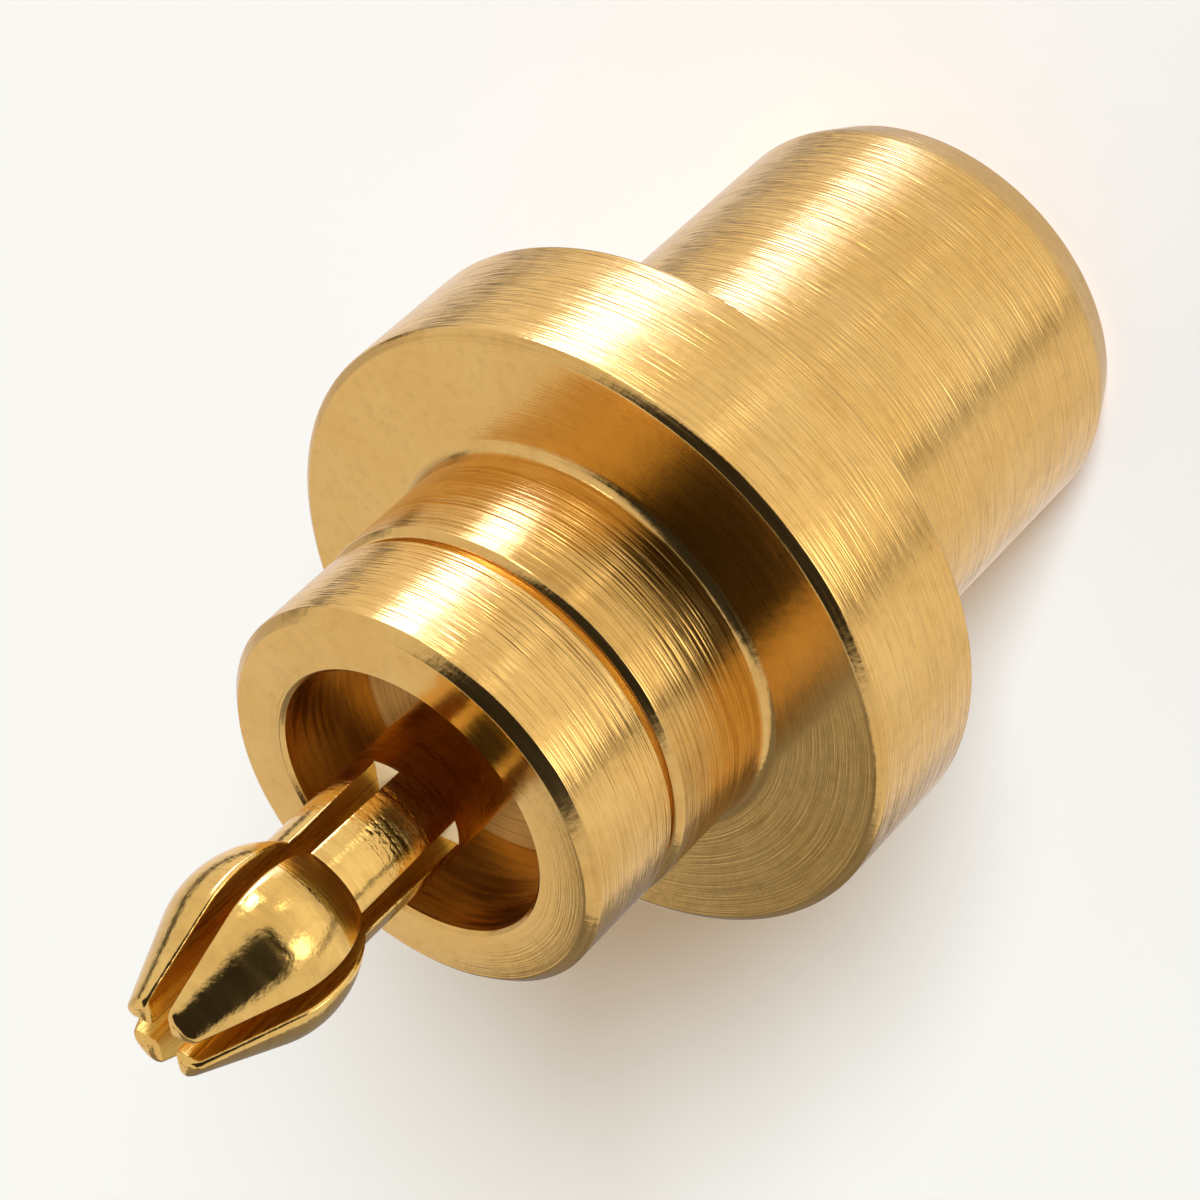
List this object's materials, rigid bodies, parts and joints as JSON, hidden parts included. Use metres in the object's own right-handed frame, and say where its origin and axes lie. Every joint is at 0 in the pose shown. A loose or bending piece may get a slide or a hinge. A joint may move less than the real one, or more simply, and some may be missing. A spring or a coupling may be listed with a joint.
{
  "type": "coaxial rf connector",
  "caption": "Turned coaxial connector with a flange, a grooved collar, a slotted spring pin in an open bore and a springy wire contact at the board end.",
  "frame": {"origin": "on the axis, at the free end of the wire button, which is the lowest point when the connector stands on its board end", "axes": "+Z along the axis from the board end towards the slotted pin; X and Y across it, each through the middle of a pair of tines"},
  "size_m": [0.0068, 0.0068, 0.0123],
  "materials": {
    "gold_plate": "satin gold plate with fine turning lines",
    "contact_gold": "polished gold plate",
    "insulator": "turned beige plastic",
    "gold_wire": "fine crumpled gold-plated wire"
  },
  "bodies": {
    "connector": {"outer_shell": "gold_plate", "front_bead": "insulator", "centre_contact": "contact_gold", "rear_bush": "gold_plate", "rear_bead": "insulator"},
    "button": {"wire_button": "gold_wire"}
  },
  "joints": [
    {"name": "button_press", "type": "slide", "parent": "connector", "child": "button", "axis": [0, 0, 1], "range_m": [0, 0.00012], "stiffness_N_per_m": 4000, "deforming": ["wire_button"]}
  ]
}
